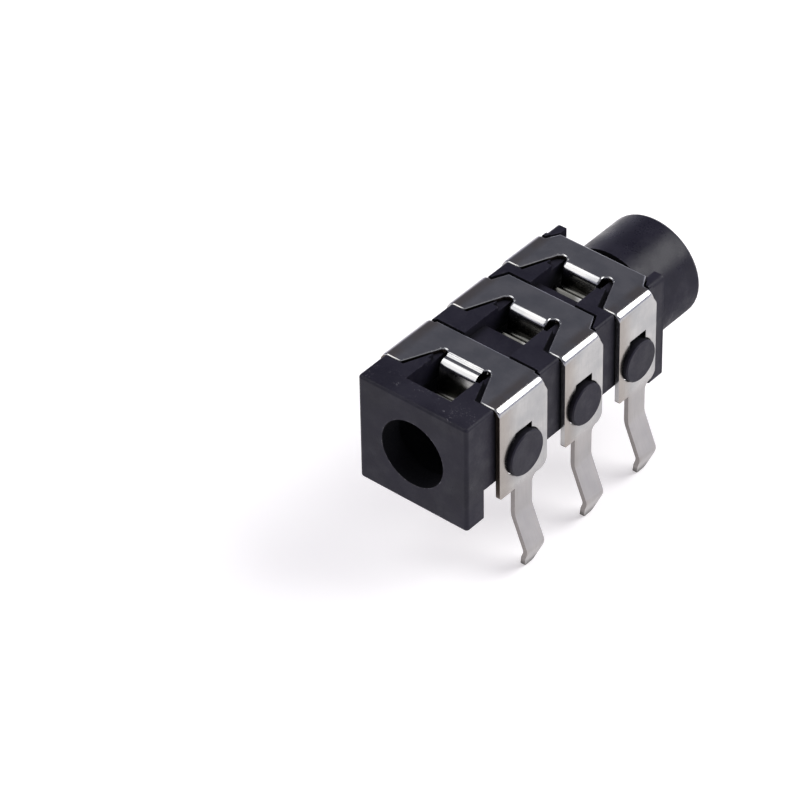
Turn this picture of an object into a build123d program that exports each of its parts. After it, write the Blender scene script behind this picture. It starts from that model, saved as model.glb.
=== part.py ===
from build123d import *
import os

os.makedirs("parts", exist_ok=True)

# Millimetres. X runs across the socket, Y runs from the mouth to the rear wall, Z is up.
# The origin is where the plug's axis meets the mouth.

# Plug passage: a guide at the mouth, which narrows a little into the cavity behind it
bore_radius = 1.8
guide_end = 3.4
guide_taper = 0.62
cavity_radius = 1.77
lead_in_depth = 0.4
lead_in_widening = 0.2
tip_hole_radius = 1.5

# Housing
barrel_length = 2.95
barrel_radius = 2.26
mouth_rounding = 0.2
socket_length = 15.0
half_width = 2.65
roof_height = 2.5
seat_depth = 2.5
body_wall_bottom = 1.05
flange_thickness = 0.75
flange_top = 2.45
flange_rounding = 0.2
end_wall_thickness = 1.0
end_wall_rounding = 0.16
edge_rounding = 0.12
run_out_level = 2.0
run_out_reach = 0.25

# Contact sheet, laid in channels of the roof and against the side walls
sheet = 0.2
inner_bend = 0.15
channel_depth = 0.22
channel_clearance = 0.06
shoulder_rounding = 0.18
plate_clearance = 0.05
wing_clearance = 0.18

# Outline of every strap seen from above
wing_tip_cut = 0.06
island_setback = 0.7

# Leaf springs
relief_depth = 0.12
leaf_curl = 0.33
leaf_hollow = 0.14
leaf_crest_length = 0.2
leaf_end_rounding = 0.25
step_drop = 0.09
step_crease = 0.22
step_hollow = 0.06
step_landing = 0.03

# Windows over the plug passage
window_half_width = 1.1
window_lead = 0.25
ledge_drop = 0.4
window_depth = 1.5

# Side plates and the bosses that carry them
plate_drop = 1.87
blank_plate_extra = 0.1
plate_rounding = 0.4
plate_corner = 0.12
boss_level = -0.34
boss_height = 0.25
boss_clearance = 0.05
boss_edge = 0.05
keyhole_width = 1.0
keyhole_rise = 1.18

# Pins
pin_width = 1.05
pin_tip_width = 0.5
pin_fillet = 0.3
pin_bend_start = 1.33
pin_kick_drop = 1.62
pin_kick_out = 0.64
pin_return_drop = 1.0
pin_return_in = 0.37
pin_tip_length = 0.7
pin_bend = 0.7
pin_elbow = 0.45

# For each strap: its front edge, how far its side plates and side bends stand behind that
# edge, how far the front corners stand in from the side walls, the width of the bridge, the
# length of the wings, half the gap between them at the root and at the tips, half the width
# of the leaf spring, the boss radius and how far the window reaches behind the bridge, and
# for the leaf its slant from the curl to the crest, the level of the crest and the tail's run.
# The straps' places from the mouth follow the plug; the last window runs on to the rear wall.
sleeve = dict(
    front=3.4,
    plate=0.35,
    bend=0.56,
    inset=0.55,
    outset=0.23,
    bridge=1.1,
    wing=1.55,
    root=1.37,
    gap=2.02,
    leaf=0.88,
    boss=0.9,
    window=1.47,
    slant=0.1,
    crest=1.48,
    tail=0.3,
)
ring = dict(
    front=6.6,
    plate=0.49,
    bend=0.68,
    inset=0.55,
    outset=0.23,
    bridge=1.2,
    wing=1.62,
    root=1.37,
    gap=2.04,
    leaf=0.88,
    boss=0.9,
    window=1.5,
    slant=0.13,
    crest=1.35,
    tail=0.3,
)
tip = dict(
    front=10.58,
    plate=-0.08,
    bend=0.1,
    inset=0.25,
    outset=0.2,
    bridge=1.24,
    wing=1.53,
    root=1.24,
    gap=1.92,
    leaf=0.85,
    boss=0.98,
    slant=0.25,
    crest=1.1,
    tail=0.35,
)

cavity_end = socket_length - end_wall_thickness
channel_floor = roof_height - channel_depth
strap_top = channel_floor + sheet
strap_side = half_width + plate_clearance + sheet
outer_bend = inner_bend + sheet
plate_bottom = -plate_drop
bend_level = strap_top - outer_bend


def bridge_rear(strap):
    return strap["front"] + strap["bridge"]


def wing_tips(strap):
    return bridge_rear(strap) + strap["wing"]


def plate_front(strap):
    return strap["front"] + strap["plate"]


def plate_middle(strap):
    return (plate_front(strap) + wing_tips(strap)) / 2


with BuildPart() as housing:
    # Front flange
    with BuildSketch(Plane.XZ.offset(-barrel_length)):
        with Locations((0, -seat_depth)):
            Rectangle(2 * half_width, flange_top + seat_depth, align=(Align.CENTER, Align.MIN))
    extrude(amount=-flange_thickness)
    fillet(housing.edges().filter_by(Axis.Y), flange_rounding)
    # Boxed body behind it
    with BuildSketch(Plane.XZ.offset(-barrel_length - flange_thickness)):
        with Locations((0, -body_wall_bottom)):
            Rectangle(2 * half_width, roof_height + body_wall_bottom, align=(Align.CENTER, Align.MIN))
    extrude(amount=-(cavity_end - barrel_length - flange_thickness))
    # Rear wall
    with BuildSketch(Plane.XZ.offset(-cavity_end)):
        Rectangle(2 * half_width, roof_height + seat_depth)
    extrude(amount=-end_wall_thickness)
    rear_face = housing.faces().sort_by(Axis.Y)[-1]
    fillet(rear_face.edges().filter_by(Axis.Z), end_wall_rounding)
    rear_face = housing.faces().sort_by(Axis.Y)[-1]
    fillet(rear_face.edges(), edge_rounding)
    # Round barrel, which carries on under the body as its belly
    with BuildSketch(Plane.XZ):
        Circle(barrel_radius)
    extrude(amount=-cavity_end)
    fillet(housing.faces().sort_by(Axis.Y)[0].edges(), mouth_rounding)
    # Bosses on both sides
    for strap in (sleeve, ring, tip):
        for side in (-1, 1):
            with BuildSketch(Plane.YZ.offset(side * half_width)):
                with Locations((plate_middle(strap), boss_level)):
                    Circle(strap["boss"])
            extrude(amount=side * (sheet + boss_height))
    for end in (0, -1):
        boss_faces = housing.faces().filter_by(GeomType.PLANE).group_by(Axis.X)[end]
        chamfer(boss_faces.edges(), boss_edge)
    # Plug passage, from the lead-in to the hole in the rear wall
    with BuildSketch(Plane.YZ):
        with BuildLine():
            Polyline(
                (0, 0),
                (0, bore_radius + lead_in_widening),
                (lead_in_depth, bore_radius),
                (guide_end, bore_radius),
                (guide_end + guide_taper, cavity_radius),
                (cavity_end, cavity_radius),
                (cavity_end, tip_hole_radius),
                (socket_length, tip_hole_radius),
                (socket_length, 0),
                close=True,
            )
        make_face()
    revolve(axis=Axis.Y, mode=Mode.SUBTRACT)
    # Channels in the roof that follow the straps, and open pockets beside the leaf springs
    for strap in (sleeve, ring, tip):
        front = strap["front"] - channel_clearance
        front_corner = half_width - strap["inset"] + channel_clearance
        bend_corner = half_width - strap["outset"] + channel_clearance
        bend_front = strap["front"] + strap["bend"] - channel_clearance
        rear = wing_tips(strap) + channel_clearance
        wing_tip = strap["gap"] - wing_clearance
        wing_root = strap["root"] - wing_clearance
        with BuildSketch(Plane.XY.offset(channel_floor)):
            for side in (-1, 1):
                with BuildLine():
                    Polyline(
                        (0, front),
                        (side * front_corner, front),
                        (side * bend_corner, bend_front),
                        (side * (half_width + 1), bend_front),
                        (side * (half_width + 1), rear),
                        (side * wing_tip, rear),
                        (side * wing_root, bridge_rear(strap)),
                        (0, bridge_rear(strap)),
                        close=True,
                    )
                make_face()
            with Locations((0, bridge_rear(strap))):
                Rectangle(2 * strap["root"], island_setback, align=(Align.CENTER, Align.MIN))
        extrude(amount=2 * channel_depth, mode=Mode.SUBTRACT)
    # The first channel runs out through the flange, deeper there, so that the front edge of
    # the first strap stands clear of the barrel's root
    with BuildSketch(Plane.XY.offset(run_out_level)):
        with Locations((0, barrel_length)):
            Rectangle(
                2 * (half_width - sleeve["inset"] + channel_clearance),
                sleeve["front"] + run_out_reach - barrel_length,
                align=(Align.CENTER, Align.MIN),
            )
    extrude(amount=roof_height, mode=Mode.SUBTRACT)
    # Windows into the plug passage; the last one reaches the rear wall
    for strap in (sleeve, ring, tip):
        window_end = cavity_end if strap is tip else bridge_rear(strap) + strap["window"]
        with BuildSketch(Plane.XY.offset(roof_height - window_depth)):
            with Locations((0, bridge_rear(strap) - window_lead)):
                Rectangle(
                    2 * window_half_width,
                    window_end - bridge_rear(strap) + window_lead,
                    align=(Align.CENTER, Align.MIN),
                )
        extrude(amount=window_depth + 1, mode=Mode.SUBTRACT)
    # Lowered ledges between a window and the next strap
    for strap, next_strap in ((sleeve, ring), (ring, tip)):
        ledge_front = bridge_rear(strap) + strap["window"]
        with BuildSketch(Plane.XY.offset(roof_height - ledge_drop)):
            with Locations((0, ledge_front)):
                Rectangle(
                    2 * window_half_width,
                    next_strap["front"] - ledge_front,
                    align=(Align.CENTER, Align.MIN),
                )
        extrude(amount=2 * ledge_drop, mode=Mode.SUBTRACT)
    # Shoulders rounded to clear the side bends of the straps
    for strap in (sleeve, ring, tip):
        bend_front = strap["front"] + strap["bend"] - channel_clearance
        rear = wing_tips(strap) + channel_clearance
        with BuildSketch(Plane.XZ.offset(-bend_front)):
            for side in (-1, 1):
                with BuildLine():
                    Line(
                        (side * half_width, channel_floor - shoulder_rounding),
                        (side * (half_width + 1), channel_floor - shoulder_rounding),
                    )
                    Line(
                        (side * (half_width + 1), channel_floor - shoulder_rounding),
                        (side * (half_width + 1), channel_floor),
                    )
                    Line(
                        (side * (half_width + 1), channel_floor),
                        (side * (half_width - shoulder_rounding), channel_floor),
                    )
                    RadiusArc(
                        (side * (half_width - shoulder_rounding), channel_floor),
                        (side * half_width, channel_floor - shoulder_rounding),
                        side * shoulder_rounding,
                    )
                make_face()
        extrude(amount=-(rear - bend_front), mode=Mode.SUBTRACT)


def contact_strap(strap, left_pin, right_pin, leaf_line, leaf_radii):
    """One strip, stamped flat and folded over the housing, with its leaf spring turned down."""
    front = strap["front"]
    bend_front = front + strap["bend"]
    tips = wing_tips(strap)
    middle = plate_middle(strap)
    start = min(front, plate_front(strap))
    relief_middle = (strap["leaf"] + strap["root"]) / 2
    relief_radius = (strap["root"] - strap["leaf"]) / 2

    # The fold seen along the plug's axis
    pin_line = [
        (strap_side, plate_bottom - pin_bend_start),
        (strap_side + pin_kick_out, plate_bottom - pin_bend_start - pin_kick_drop),
        (
            strap_side + pin_kick_out - pin_return_in,
            plate_bottom - pin_bend_start - pin_kick_drop - pin_return_drop,
        ),
    ]
    pin_end = pin_line[-1][1]
    blank_bottom = plate_bottom - blank_plate_extra
    fold = [(-strap_side, strap_top), (strap_side, strap_top)]
    fold_radii = [outer_bend, outer_bend]
    if left_pin:
        fold = [(-x, z) for x, z in reversed(pin_line)] + fold
        fold_radii = [pin_elbow, pin_bend] + fold_radii
    else:
        fold = [(-strap_side, blank_bottom)] + fold
    if right_pin:
        fold = fold + pin_line
        fold_radii = fold_radii + [pin_bend, pin_elbow]
    else:
        fold = fold + [(strap_side, blank_bottom)]

    with BuildPart() as contact:
        with BuildSketch(Plane.XZ.offset(-start)):
            with BuildLine():
                FilletPolyline(*fold, radius=fold_radii)
                offset(amount=sheet, side=Side.RIGHT, kind=Kind.INTERSECTION)
            make_face()
        extrude(amount=-(tips - start))
        # Stamping seen from above: front corners, the cut between the wings, the leaf's reliefs
        with BuildSketch(Plane.XY.offset(bend_level)):
            for side in (-1, 1):
                with BuildLine():
                    Polyline(
                        (side * (half_width - strap["inset"]), start - 1),
                        (side * (half_width - strap["inset"]), front),
                        (side * (half_width - strap["outset"]), bend_front),
                        (side * (strap_side + 1), bend_front),
                        (side * (strap_side + 1), start - 1),
                        close=True,
                    )
                make_face()
                with BuildLine():
                    Polyline(
                        (0, bridge_rear(strap)),
                        (side * strap["root"], bridge_rear(strap)),
                        (side * strap["gap"], tips - wing_tip_cut),
                        (side * (strap["gap"] + wing_tip_cut), tips),
                        (side * (strap["gap"] + wing_tip_cut), tips + 1),
                        (0, tips + 1),
                        close=True,
                    )
                make_face()
                with Locations((side * relief_middle, bridge_rear(strap) + relief_radius - relief_depth)):
                    Circle(relief_radius)
            with Locations((0, start - 1)):
                Rectangle(4 * half_width, front - start + 1, align=(Align.CENTER, Align.MIN))
        extrude(amount=2 * outer_bend, mode=Mode.SUBTRACT)
        # Stamping seen from the sides: plates, pins and the keyholes for the bosses
        for side, has_pin in ((-1, left_pin), (1, right_pin)):
            bottom = plate_bottom if has_pin else blank_bottom
            square_rear = side < 0
            front_radius = plate_rounding if square_rear else plate_corner
            rear_radius = plate_corner if square_rear else plate_rounding
            front_fillet = pin_fillet if square_rear else 0
            rear_fillet = 0 if square_rear else pin_fillet
            outline = [
                (bend_front, bend_level + 0.001),
                (plate_front(strap), bend_level - outer_bend),
                (plate_front(strap), bottom),
            ]
            radii = [0, outer_bend, front_radius]
            if has_pin:
                outline += [
                    (middle - pin_width / 2, plate_bottom),
                    (middle - pin_width / 2, pin_end + pin_tip_length),
                    (middle - pin_tip_width / 2, pin_end),
                    (middle + pin_tip_width / 2, pin_end),
                    (middle + pin_width / 2, pin_end + pin_tip_length),
                    (middle + pin_width / 2, plate_bottom),
                ]
                radii += [front_fillet, pin_fillet, pin_tip_width / 3, pin_tip_width / 3, pin_fillet]
                radii += [rear_fillet]
            outline += [(tips, bottom), (tips, bend_level + 0.001)]
            radii += [rear_radius, 0]
            with BuildSketch(Plane.YZ.offset(side * (half_width - 0.5))):
                with Locations((middle, bend_level)):
                    Rectangle(
                        2 * (tips - start) + 2,
                        bend_level - pin_end + 1,
                        align=(Align.CENTER, Align.MAX),
                    )
                with BuildLine():
                    FilletPolyline(*outline, radius=radii, close=True)
                make_face(mode=Mode.SUBTRACT)
                with Locations((middle, boss_level)):
                    Circle(strap["boss"] + boss_clearance)
                    Rectangle(keyhole_width, keyhole_rise, align=(Align.CENTER, Align.MIN))
            extrude(amount=side * 2, mode=Mode.SUBTRACT)
        # Leaf spring
        with BuildSketch(Plane.YZ.offset(-strap["leaf"])):
            with BuildLine():
                FilletPolyline(*leaf_line, radius=leaf_radii)
                offset(amount=sheet, side=Side.RIGHT, kind=Kind.INTERSECTION)
            make_face()
        extrude(amount=2 * strap["leaf"])
        leaf_end = contact.edges().filter_by(
            lambda edge: abs(edge.length - sheet) < 0.001
            and abs(abs(edge.center().X) - strap["leaf"]) < 0.001
            and edge.center().Z < channel_floor - sheet
        )
        fillet(leaf_end, leaf_end_rounding)
    return contact


def leaf_points(strap, stepped):
    """Upper line of a leaf: off the bridge, over the curl, down to its crest and up the tail."""
    root = bridge_rear(strap)
    crest = strap["crest"]
    tail = strap["tail"]
    points = [(root - leaf_curl, strap_top)]
    radii = []
    curl_start = root
    curl_level = strap_top
    if stepped:
        points += [(root, strap_top), (root + step_drop, strap_top - step_drop)]
        radii += [step_crease, step_hollow]
        curl_start = root + step_drop + step_landing
        curl_level = strap_top - step_drop
    foot = curl_start + leaf_curl + strap["slant"]
    crest_end = foot + leaf_crest_length
    points += [
        (curl_start + leaf_curl, curl_level),
        (foot, crest),
        (crest_end, crest),
        (crest_end + tail, crest + tail * 1.2),
    ]
    radii += [leaf_curl, leaf_hollow, leaf_hollow]
    return points, radii


sleeve_line, sleeve_radii = leaf_points(sleeve, False)
sleeve_contact = contact_strap(sleeve, True, True, sleeve_line, sleeve_radii)
ring_line, ring_radii = leaf_points(ring, False)
ring_contact = contact_strap(ring, True, False, ring_line, ring_radii)
tip_line, tip_radii = leaf_points(tip, True)
tip_contact = contact_strap(tip, True, False, tip_line, tip_radii)

housing.part.label = "housing"
sleeve_contact.part.label = "sleeve_contact"
ring_contact.part.label = "ring_contact"
tip_contact.part.label = "tip_contact"

export_step(housing.part, "parts/housing.step")
export_step(sleeve_contact.part, "parts/sleeve_contact.step")
export_step(ring_contact.part, "parts/ring_contact.step")
export_step(tip_contact.part, "parts/tip_contact.step")
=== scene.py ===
import math

import bmesh
import bpy
from mathutils import Matrix, Vector
from mathutils.bvhtree import BVHTree


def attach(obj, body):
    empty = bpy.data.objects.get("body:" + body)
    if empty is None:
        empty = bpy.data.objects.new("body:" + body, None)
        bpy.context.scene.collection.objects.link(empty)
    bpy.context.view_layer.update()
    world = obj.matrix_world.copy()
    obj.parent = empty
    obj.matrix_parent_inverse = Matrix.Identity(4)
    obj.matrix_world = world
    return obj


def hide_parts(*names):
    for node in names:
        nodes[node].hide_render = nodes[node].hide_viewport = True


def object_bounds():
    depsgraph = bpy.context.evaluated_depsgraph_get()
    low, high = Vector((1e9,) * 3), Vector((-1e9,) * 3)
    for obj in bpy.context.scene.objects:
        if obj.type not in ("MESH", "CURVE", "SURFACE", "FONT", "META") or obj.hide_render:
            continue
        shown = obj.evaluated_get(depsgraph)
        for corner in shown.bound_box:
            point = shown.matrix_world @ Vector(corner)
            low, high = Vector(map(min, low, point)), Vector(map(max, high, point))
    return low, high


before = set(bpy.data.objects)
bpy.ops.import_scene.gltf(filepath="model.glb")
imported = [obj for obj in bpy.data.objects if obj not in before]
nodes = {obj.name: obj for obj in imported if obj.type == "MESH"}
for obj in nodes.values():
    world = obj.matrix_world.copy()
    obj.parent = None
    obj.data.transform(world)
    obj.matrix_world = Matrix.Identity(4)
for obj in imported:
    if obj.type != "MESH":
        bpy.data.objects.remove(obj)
cad_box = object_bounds()

MM = 0.001
CONTACTS = ("sleeve_contact", "ring_contact", "tip_contact")

# The moulding: Y runs from the mouth to the rear wall, Z up and X sideways from the plug's axis
SOCKET_LENGTH = cad_box[1][1]
PIN_ENDS = cad_box[0][2]
SEAT_LEVEL = -2.5 * MM
BORE_RADIUS = 1.8 * MM
BARREL_LENGTH = 2.95 * MM
BOSS_LEVEL = -0.34 * MM
KEYHOLE_REACH = 1.3 * MM
SCUFF_START = SOCKET_LENGTH - 1.3 * MM
SCUFF_FULL = SOCKET_LENGTH - 0.6 * MM

# The contacts: one sheet, with its leaf in the middle, its bends, and its plates at the sides
SHEET = 0.2 * MM
LEAF_SIDE = 1.0 * MM
LEAF_MARGIN = 0.1 * MM
LEAF_SHADE_START = 2.2 * MM
LEAF_SHADE_FULL = 1.8 * MM
LEAF_LIT_END = -0.75 * MM
LEAF_DARK_END = -0.2 * MM
BEND_START = 2.05 * MM
BEND_FULL = 2.4 * MM
PLATE_SIDE = 2.6 * MM
PLATE_FACE = 2.9 * MM
TIN_START = SEAT_LEVEL + 1.0 * MM
TIN_FULL = SEAT_LEVEL + 0.4 * MM

# How the contacts' cut edges are found, and how far the outer ones are rolled over
WELD = 0.001 * MM
UNDER_SKIN = 0.002 * MM
SAME_LEVEL = 0.01 * MM
ACROSS_SHEET = 1.15 * SHEET
ONE_PLANE = math.radians(0.3)
SMOOTH_RUN = math.radians(30)
SHARP_EDGE = math.radians(38)
CUT_CORNER = math.radians(45)
ROLL_WIDTH = 0.10 * MM
ROLL_SEGMENTS = 4
ROLL_DEPTH = 0.45

# Camera: what the middle of the picture looks at, and from where
CAMERA_AIM = (2.409 * MM, 12.850 * MM, 0.0)
CAMERA_DISTANCE = 177.343 * MM
CAMERA_AZIMUTH = math.radians(220.662)
CAMERA_ELEVATION = math.radians(39.730)
CAMERA_ROLL = math.radians(-1.117)
LENS = 208.97
SENSOR_WIDTH = 36

# Colours
PLASTIC_DARK = (0.0100, 0.0090, 0.0165, 1)
PLASTIC_LIGHT = (0.0160, 0.0145, 0.0240, 1)
PLASTIC_GRAIN = (0.0270, 0.0260, 0.0350, 1)
PLASTIC_WORN = (0.140, 0.135, 0.150, 1)
PLASTIC_SHADE = (0.0008, 0.0008, 0.0020, 1)
SHEET_DARK = (0.39, 0.392, 0.395, 1)
SHEET_LIGHT = (0.51, 0.502, 0.490, 1)
SHEET_STREAK = (0.36, 0.352, 0.348, 1)
SHEET_TINNED = (0.385, 0.365, 0.360, 1)
SHEET_WARM_TINT = (0.26, 0.20, 0.145, 1)
SHEET_CORE = (0.085, 0.055, 0.038, 1)
SHEET_SHADE = (0.035, 0.034, 0.028, 1)
FLOOR_COLOUR = (0.93, 0.925, 0.925, 1)
FLOOR_SEEN = (0.69, 0.685, 0.685, 1)
FLOOR_LIFT = (0.515, 0.495, 0.500, 1)
SKY_COLOUR = (0.92, 0.93, 1.14, 1)

# Studio, with lengths in metres
FLOOR_HALF = 3.0
SKY_AT_HORIZON = 0.85
SKY_OVERHEAD = 0.160
SKY_FALL_END = 0.5

# Lamps: direction from the socket, distance, width, height and power
LAMPS = {
    "light_right": ((-0.48, -0.60, 0.66), 0.7, 0.48, 0.55, 4.6),
    "light_left": ((0.50, 0.52, 0.58), 0.7, 0.42, 0.60, 1.4),
    "light_crest": ((0.50, 0.03, 0.86), 0.7, 0.32, 0.32, 0.8),
    "light_over": ((-0.25, 0.35, 1.00), 0.8, 0.70, 0.70, 0.5),
}


def place_camera():
    data = bpy.data.cameras.new("camera")
    data.sensor_fit = "HORIZONTAL"
    data.sensor_width = SENSOR_WIDTH
    data.lens = LENS
    data.clip_start = 0.005
    data.clip_end = 20
    camera = bpy.data.objects.new("camera", data)
    bpy.context.scene.collection.objects.link(camera)
    turn = (Matrix.Rotation(CAMERA_AZIMUTH, 4, "Z")
            @ Matrix.Rotation(math.radians(90) - CAMERA_ELEVATION, 4, "X")
            @ Matrix.Rotation(CAMERA_ROLL, 4, "Z"))
    place = Vector(CAMERA_AIM) + turn.to_3x3() @ Vector((0, 0, CAMERA_DISTANCE))
    camera.matrix_world = Matrix.Translation(place) @ turn
    bpy.context.scene.camera = camera


class Graph:
    """Short names for the nodes that the materials are made of."""

    def __init__(self, name):
        self.material = bpy.data.materials.new(name)
        self.material.use_nodes = True
        self.tree = self.material.node_tree
        self.tree.nodes.clear()
        self.output = self.add("ShaderNodeOutputMaterial")
        self.coordinates = self.add("ShaderNodeTexCoord")
        self.geometry = self.add("ShaderNodeNewGeometry")
        self.place = self.coordinates.outputs["Object"]

    def add(self, kind, **settings):
        node = self.tree.nodes.new(kind)
        for key, value in settings.items():
            setattr(node, key, value)
        return node

    def feed(self, socket, value):
        """Link a node's output to the socket, or set the socket to a plain value."""
        if hasattr(value, "is_output"):
            self.tree.links.new(value, socket)
        elif value is not None:
            socket.default_value = value

    def math(self, operation, first, second=None, clamp=False):
        node = self.add("ShaderNodeMath", operation=operation, use_clamp=clamp)
        for socket, value in zip(node.inputs, (first, second)):
            self.feed(socket, value)
        return node.outputs[0]

    def times(self, first, *others):
        for other in others:
            first = self.math("MULTIPLY", first, other)
        return first

    def stretch(self, value, low, high, start=0.0, end=1.0):
        """A smooth step from start at low to end at high."""
        node = self.add("ShaderNodeMapRange", interpolation_type="SMOOTHSTEP")
        for key, number in (("Value", value), ("From Min", low), ("From Max", high),
                            ("To Min", start), ("To Max", end)):
            self.feed(node.inputs[key], number)
        return node.outputs[0]

    def mix(self, amount, first, second):
        node = self.add("ShaderNodeMix", data_type="RGBA")
        self.feed(node.inputs[0], amount)
        self.feed(node.inputs[6], first)
        self.feed(node.inputs[7], second)
        return node.outputs[2]

    def split(self, vector):
        node = self.add("ShaderNodeSeparateXYZ")
        self.feed(node.inputs[0], vector)
        return node.outputs

    def scaled(self, scale):
        node = self.add("ShaderNodeMapping")
        self.feed(node.inputs["Vector"], self.place)
        node.inputs["Scale"].default_value = scale
        return node.outputs[0]

    def noise(self, vector, size, detail=3.0, roughness=0.5):
        """Noise whose blobs are about size metres across."""
        node = self.add("ShaderNodeTexNoise")
        self.feed(node.inputs["Vector"], vector)
        node.inputs["Scale"].default_value = 1.0 / size
        node.inputs["Detail"].default_value = detail
        node.inputs["Roughness"].default_value = roughness
        return node.outputs["Fac"]

    def bump(self, height, distance, strength):
        node = self.add("ShaderNodeBump")
        node.inputs["Strength"].default_value = strength
        node.inputs["Distance"].default_value = distance
        self.feed(node.inputs["Height"], height)
        return node.outputs[0]

    def hollow(self, distance, low, high):
        """A mask for painted shade: 1 deep in slots and corners, 0 in the open."""
        open_sky = self.add("ShaderNodeAmbientOcclusion", samples=8)
        open_sky.inputs["Distance"].default_value = distance
        return self.stretch(open_sky.outputs["AO"], high, low)

    def edge(self, radius, low, high):
        """1 along sharp edges, 0 on the flats."""
        bevel = self.add("ShaderNodeBevel", samples=6)
        bevel.inputs["Radius"].default_value = radius
        dot = self.add("ShaderNodeVectorMath", operation="DOT_PRODUCT")
        self.feed(dot.inputs[0], bevel.outputs[0])
        self.feed(dot.inputs[1], self.geometry.outputs["Normal"])
        return self.stretch(dot.outputs["Value"], high, low)

    def principled(self):
        shader = self.add("ShaderNodeBsdfPrincipled")
        self.feed(self.output.inputs["Surface"], shader.outputs[0])
        return shader


def moulded_plastic():
    """Dull black moulding: fine spark grain, cloudy gloss, scuffed edges, painted shade in its slots and
    bore.
    """
    g = Graph("moulded_black_plastic")
    x, y, z = g.split(g.place)
    facing = g.split(g.coordinates.outputs["Normal"])
    shader = g.principled()

    cloud = g.noise(g.place, 2.2 * MM, 2.0)
    patch = g.noise(g.place, 0.7 * MM, 3.0, 0.55)
    grain = g.noise(g.place, 0.09 * MM, 3.0, 0.6)
    fine = g.noise(g.place, 0.035 * MM, 2.0, 0.6)

    # Scuffs on the edges, most of them round the rear wall, and pale flecks on its top
    scuff = g.stretch(g.noise(g.place, 0.16 * MM, 4.0, 0.7), 0.50, 0.66)
    rear = g.stretch(y, SCUFF_START, SCUFF_FULL)
    edge = g.edge(0.12 * MM, 0.88, 0.99)
    worn = g.times(edge, scuff, g.math("ADD", g.times(rear, 0.55), 0.25))
    fleck = g.stretch(g.noise(g.place, 0.065 * MM, 2.0, 0.6), 0.60, 0.68)
    strewn = g.stretch(g.noise(g.place, 0.55 * MM, 2.0), 0.50, 0.60)
    fleck = g.times(fleck, strewn, rear, g.stretch(facing["Z"], 0.4, 0.8), 0.75)
    worn = g.math("MAXIMUM", worn, fleck, clamp=True)

    # Painted shade: the bore and the slots are darkened almost to black
    square = g.math("ADD", g.times(x, x), g.times(z, z))
    bore = g.stretch(g.math("SQRT", square), BORE_RADIUS + 0.1 * MM, BORE_RADIUS + 0.02 * MM)
    bore = g.times(bore, g.stretch(g.math("ABSOLUTE", facing["Y"]), 0.9, 0.6))
    shade = g.math("MAXIMUM", bore, g.hollow(0.8 * MM, 0.35, 0.85))

    base = g.mix(g.stretch(cloud, 0.35, 0.65), PLASTIC_DARK, PLASTIC_LIGHT)
    base = g.mix(g.stretch(grain, 0.45, 0.75, 0.0, 0.35), base, PLASTIC_GRAIN)
    base = g.mix(g.stretch(patch, 0.5, 0.75, 0.0, 0.4), base, PLASTIC_GRAIN)
    base = g.mix(worn, base, PLASTIC_WORN)
    # painted shade in the bore, the slots and the corners
    base = g.mix(g.times(shade, 0.95), base, PLASTIC_SHADE)
    g.feed(shader.inputs["Base Color"], base)

    # Glossier on top of the barrel
    rough = g.stretch(cloud, 0.3, 0.7, 0.38, 0.50)
    rough = g.math("ADD", rough, g.stretch(patch, 0.35, 0.7, 0.05, -0.08))
    rough = g.math("ADD", rough, g.stretch(grain, 0.3, 0.7, -0.05, 0.07))
    barrel = g.stretch(y, BARREL_LENGTH + 0.2 * MM, BARREL_LENGTH)
    gloss = g.times(barrel, g.stretch(facing["Z"], 0.1, 0.7, -0.16, 0.12))
    rough = g.math("SUBTRACT", rough, gloss)
    rough = g.math("ADD", rough, g.times(shade, 0.4), clamp=True)
    g.feed(shader.inputs["Roughness"], rough)
    shader.inputs["IOR"].default_value = 1.26
    height = g.math("ADD", grain, g.times(fine, 0.4))
    g.feed(shader.inputs["Normal"], g.bump(height, 0.006 * MM, 0.6))
    return g.material


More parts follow.
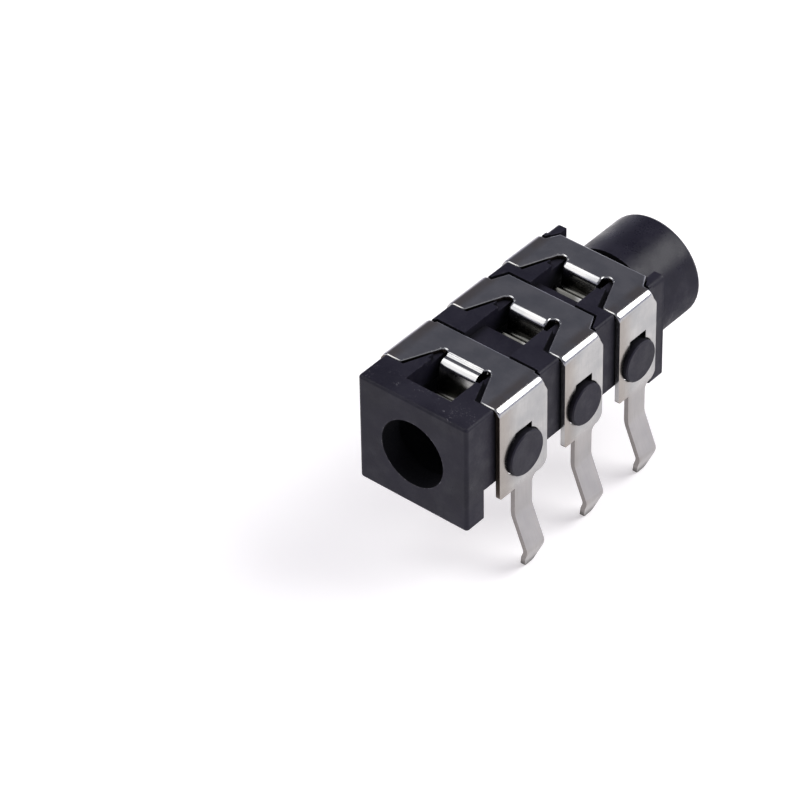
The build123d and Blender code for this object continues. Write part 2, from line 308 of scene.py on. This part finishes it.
def plated_sheet():
    """Plated spring sheet: fine rolling streaks, brown core on the cut edges, tinned pins."""
    g = Graph("plated_spring_sheet")
    place = g.split(g.place)
    facing = g.split(g.coordinates.outputs["Normal"])
    shader = g.principled()

    cloud = g.noise(g.place, 1.1 * MM, 3.0)
    grain = g.noise(g.place, 0.05 * MM, 2.0, 0.6)
    streak = g.noise(g.scaled((1.0, 26.0, 1.0)), 0.9 * MM, 4.0, 0.6)
    tinned = g.stretch(place["Z"], TIN_START, TIN_FULL)
    out = g.math("ABSOLUTE", place["X"])
    cut = g.add("ShaderNodeAttribute", attribute_name="sheared").outputs["Fac"]
    cut = g.times(cut, g.math("SUBTRACT", 1.0, g.times(tinned, 0.6)))
    cut = g.times(cut, g.stretch(out, LEAF_SIDE, LEAF_SIDE + LEAF_MARGIN))

    # Painted reflection: a warm brown band on the flat tops beside the bends. The side plates are also
    # warmer towards their rear
    bend_reflection = g.times(g.stretch(out, BEND_START, BEND_FULL), g.stretch(facing["Z"], 0.9, 0.98))
    bend_reflection = g.times(bend_reflection, g.stretch(cloud, 0.35, 0.6, 0.15, 0.5))
    upright = g.stretch(g.math("ABSOLUTE", facing["X"]), 0.9, 0.98)
    rearward = g.add("ShaderNodeAttribute", attribute_name="rearward").outputs["Fac"]
    warm = g.math("MAXIMUM", bend_reflection, g.times(upright, g.stretch(rearward, 0.55, 0.95, 0.0, 0.45)))

    # Painted shade where the leaf dips into its window, less towards -X where lamp light reaches in, and
    # painted shade in slots and corners
    inside = g.times(g.stretch(out, LEAF_SIDE + LEAF_MARGIN, LEAF_SIDE),
                     g.stretch(place["Z"], LEAF_SHADE_START, LEAF_SHADE_FULL))
    inside = g.times(inside, g.stretch(place["X"], LEAF_LIT_END, LEAF_DARK_END, 0.30, 0.97))
    shade = g.math("MAXIMUM", g.hollow(0.7 * MM, 0.30, 0.85), inside)

    tone = g.mix(g.stretch(cloud, 0.3, 0.7), SHEET_DARK, SHEET_LIGHT)
    tone = g.mix(g.stretch(streak, 0.45, 0.75, 0.0, 0.4), tone, SHEET_STREAK)
    tone = g.mix(g.times(tinned, 0.6), tone, SHEET_TINNED)
    # painted reflection beside the bends, and the plates warmer towards their rear
    tone = g.mix(warm, tone, SHEET_WARM_TINT)
    tone = g.mix(g.times(cut, 0.92), tone, SHEET_CORE)
    # painted shade in the window and in slots and corners
    tone = g.mix(g.times(shade, 0.92), tone, SHEET_SHADE)
    g.feed(shader.inputs["Base Color"], tone)
    shader.inputs["Metallic"].default_value = 1.0
    rough = g.stretch(streak, 0.3, 0.7, 0.15, 0.25)
    rough = g.math("ADD", rough, g.times(tinned, 0.2))
    rough = g.math("ADD", rough, g.times(cut, 0.15), clamp=True)
    g.feed(shader.inputs["Roughness"], rough)
    height = g.math("ADD", g.times(streak, 0.6), g.times(grain, 0.5))
    g.feed(shader.inputs["Normal"], g.bump(height, 0.002 * MM, 0.35))
    return g.material


def floor_material():
    """A plain pale floor. Seen directly or mirrored it is lifted to white, and keeps the shadow."""
    g = Graph("studio_floor")
    plain = g.add("ShaderNodeBsdfDiffuse")
    plain.inputs["Color"].default_value = FLOOR_COLOUR
    seen = g.add("ShaderNodeBsdfDiffuse")
    seen.inputs["Color"].default_value = FLOOR_SEEN
    lift = g.add("ShaderNodeEmission")
    lift.inputs["Color"].default_value = FLOOR_LIFT
    both = g.add("ShaderNodeAddShader")
    g.feed(both.inputs[0], seen.outputs[0])
    g.feed(both.inputs[1], lift.outputs[0])
    ray = g.add("ShaderNodeLightPath").outputs
    looked_at = g.math("MAXIMUM", ray["Is Camera Ray"], ray["Is Glossy Ray"])
    looked_at = g.math("MAXIMUM", looked_at, ray["Is Transmission Ray"])
    choice = g.add("ShaderNodeMixShader")
    g.feed(choice.inputs[0], looked_at)
    g.feed(choice.inputs[1], plain.outputs[0])
    g.feed(choice.inputs[2], both.outputs[0])
    g.feed(g.output.inputs["Surface"], choice.outputs[0])
    return g.material


def lay_floor():
    """A square floor that the pins' ends stand on."""
    mesh = bpy.data.meshes.new("studio_floor")
    around = ((-1, -1), (1, -1), (1, 1), (-1, 1))
    corners = [(x * FLOOR_HALF, y * FLOOR_HALF, PIN_ENDS) for x, y in around]
    mesh.from_pydata(corners, [], [(0, 1, 2, 3)])
    floor = bpy.data.objects.new("studio_floor", mesh)
    bpy.context.scene.collection.objects.link(floor)
    floor.data.materials.append(floor_material())


def softbox(name, direction, distance, width, height, power):
    """A rectangular lamp that looks at the middle of the socket."""
    data = bpy.data.lights.new(name, "AREA")
    data.shape = "RECTANGLE"
    data.size = width
    data.size_y = height
    data.energy = power
    lamp = bpy.data.objects.new(name, data)
    bpy.context.scene.collection.objects.link(lamp)
    way = Vector(direction).normalized()
    middle = Vector((0, SOCKET_LENGTH / 2, 0))
    lamp.location = middle + way * distance
    lamp.rotation_euler = way.to_track_quat("Z", "Y").to_euler()


def light_sky():
    """Pale round the horizon and dim overhead, so that the flat tops of the contacts stay dark."""
    world = bpy.data.worlds.new("studio")
    bpy.context.scene.world = world
    world.use_nodes = True
    tree = world.node_tree
    tree.nodes.clear()
    output = tree.nodes.new("ShaderNodeOutputWorld")
    sky = tree.nodes.new("ShaderNodeBackground")
    way = tree.nodes.new("ShaderNodeTexCoord")
    parts = tree.nodes.new("ShaderNodeSeparateXYZ")
    fall = tree.nodes.new("ShaderNodeMapRange")
    fall.interpolation_type = "SMOOTHSTEP"
    for key, number in (("From Min", 0.0), ("From Max", SKY_FALL_END),
                        ("To Min", SKY_AT_HORIZON), ("To Max", SKY_OVERHEAD)):
        fall.inputs[key].default_value = number
    tree.links.new(way.outputs["Generated"], parts.inputs[0])
    tree.links.new(parts.outputs[2], fall.inputs["Value"])
    sky.inputs["Color"].default_value = SKY_COLOUR
    tree.links.new(fall.outputs[0], sky.inputs["Strength"])
    tree.links.new(sky.outputs[0], output.inputs["Surface"])


def middle_points(shape):
    """A point inside each face, the middle of its largest triangle, also where the face is notched."""
    largest = {}
    for corners in shape.calc_loop_triangles():
        a, b, c = (corner.vert.co for corner in corners)
        area = (b - a).cross(c - a).length
        index = corners[0].face.index
        if index not in largest or area > largest[index][0]:
            largest[index] = (area, (a + b + c) / 3)
    return {index: point for index, (area, point) in largest.items()}


def broad_faces(shape):
    """The rolled faces of the sheet, one sheet from its other side; the shears cut all the others."""
    tree = BVHTree.FromBMesh(shape)
    points = middle_points(shape)
    broad = set()
    for face in shape.faces:
        start = points[face.index] - face.normal * UNDER_SKIN
        depth = tree.ray_cast(start, -face.normal, 5 * SHEET)[3]
        if depth is not None and depth < ACROSS_SHEET:
            broad.add(face.index)
    return broad


def outer_side(shape, broad):
    """The broad faces that run on smoothly from the top of the bridge, down over its bends."""
    tops = [face for face in shape.faces if face.index in broad and face.normal.z > 0.99]
    highest = max(face.calc_center_median().z for face in tops)
    level = [face for face in tops if face.calc_center_median().z > highest - SAME_LEVEL]
    seed = max(level, key=lambda face: face.calc_area())
    found = {seed.index}
    todo = [seed]
    while todo:
        for edge in todo.pop().edges:
            for other in edge.link_faces:
                if other.index in found or other.index not in broad:
                    continue
                if edge.calc_face_angle() < SMOOTH_RUN:
                    found.add(other.index)
                    todo.append(other)
    return found


def tree_of(shape, chosen):
    """A search tree of the chosen faces alone."""
    faces = [face for face in shape.faces if face.index in chosen]
    points = [point.co.copy() for point in shape.verts]
    return BVHTree.FromPolygons(points, [[point.index for point in face.verts] for face in faces])


def outer_cut_edges(shape, outer):
    """The cut edges round the bridge and its bends. Those of the flat plates and pins stay crisp."""
    found = []
    for edge in shape.edges:
        sides = {face.index for face in edge.link_faces}
        out = abs(edge.verts[0].co.x + edge.verts[1].co.x) / 2
        if len(sides & outer) != 1 or out > PLATE_FACE - SAME_LEVEL:
            continue
        if edge.calc_face_angle() > CUT_CORNER:
            found.append(edge)
    return found


def whole_faces(name):
    """The contact's mesh with its triangles joined into whole flat faces."""
    shape = bmesh.new()
    shape.from_mesh(nodes[name].data)
    bmesh.ops.remove_doubles(shape, verts=shape.verts, dist=WELD)
    bmesh.ops.dissolve_limit(shape, angle_limit=ONE_PLANE, verts=shape.verts,
                             edges=shape.edges, use_dissolve_boundaries=False)
    shape.normal_update()
    return shape


def roll_over(shape):
    """Ease the outer cut edges a little, as the die leaves them, and mark what the shears cut."""
    broad = broad_faces(shape)
    outer = outer_side(shape, broad)
    outer_tree = tree_of(shape, outer)
    sheared = shape.faces.layers.float.new("sheared")
    for face in shape.faces:
        face[sheared] = 0.0 if face.index in broad else 1.0
    made = bmesh.ops.bevel(shape, geom=outer_cut_edges(shape, outer), offset=ROLL_WIDTH,
                           segments=ROLL_SEGMENTS, offset_type="OFFSET", profile=0.5,
                           affect="EDGES", clamp_overlap=False)
    for face in made["faces"]:
        face[sheared] = 0.0
    for point in {point for face in made["faces"] for point in face.verts}:
        hit = outer_tree.find_nearest(point.co)
        nearest = hit[0]
        distance = hit[3]
        if distance < 1.5 * ROLL_WIDTH:
            point.co = nearest + (point.co - nearest) * ROLL_DEPTH


def mark_rearward(shape):
    """Give each point its place along the side plates, 0 at their front and 1 at their rear."""
    plate = [point.co.y for point in shape.verts
             if abs(point.co.x) > PLATE_SIDE and abs(point.co.z - BOSS_LEVEL) < KEYHOLE_REACH]
    low = min(plate)
    high = max(plate)
    rearward = shape.verts.layers.float.new("rearward")
    for point in shape.verts:
        point[rearward] = (point.co.y - low) / (high - low)


def eased_strap(name, material):
    """The contact again, with its outer cut edges rolled over, in place of the plain node."""
    shape = whole_faces(name)
    roll_over(shape)
    mark_rearward(shape)
    shape.normal_update()
    for edge in shape.edges:
        edge.smooth = not (edge.is_manifold and edge.calc_face_angle() > SHARP_EDGE)
    mesh = bpy.data.meshes.new(name + "_eased")
    shape.to_mesh(mesh)
    shape.free()
    for polygon in mesh.polygons:
        polygon.use_smooth = True
    mesh.materials.append(material)
    piece = bpy.data.objects.new(name + "_eased", mesh)
    bpy.context.scene.collection.objects.link(piece)
    weighted = piece.modifiers.new("flat_faces", "WEIGHTED_NORMAL")
    weighted.weight = 80
    weighted.keep_sharp = True
    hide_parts(name)
    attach(piece, "root")


place_camera()
lay_floor()
light_sky()
for lamp_name, settings in LAMPS.items():
    softbox(lamp_name, *settings)

nodes["housing"].material_slots[0].material = moulded_plastic()
sheet_material = plated_sheet()
for contact in CONTACTS:
    eased_strap(contact, sheet_material)

bpy.context.scene.view_settings.view_transform = "Standard"
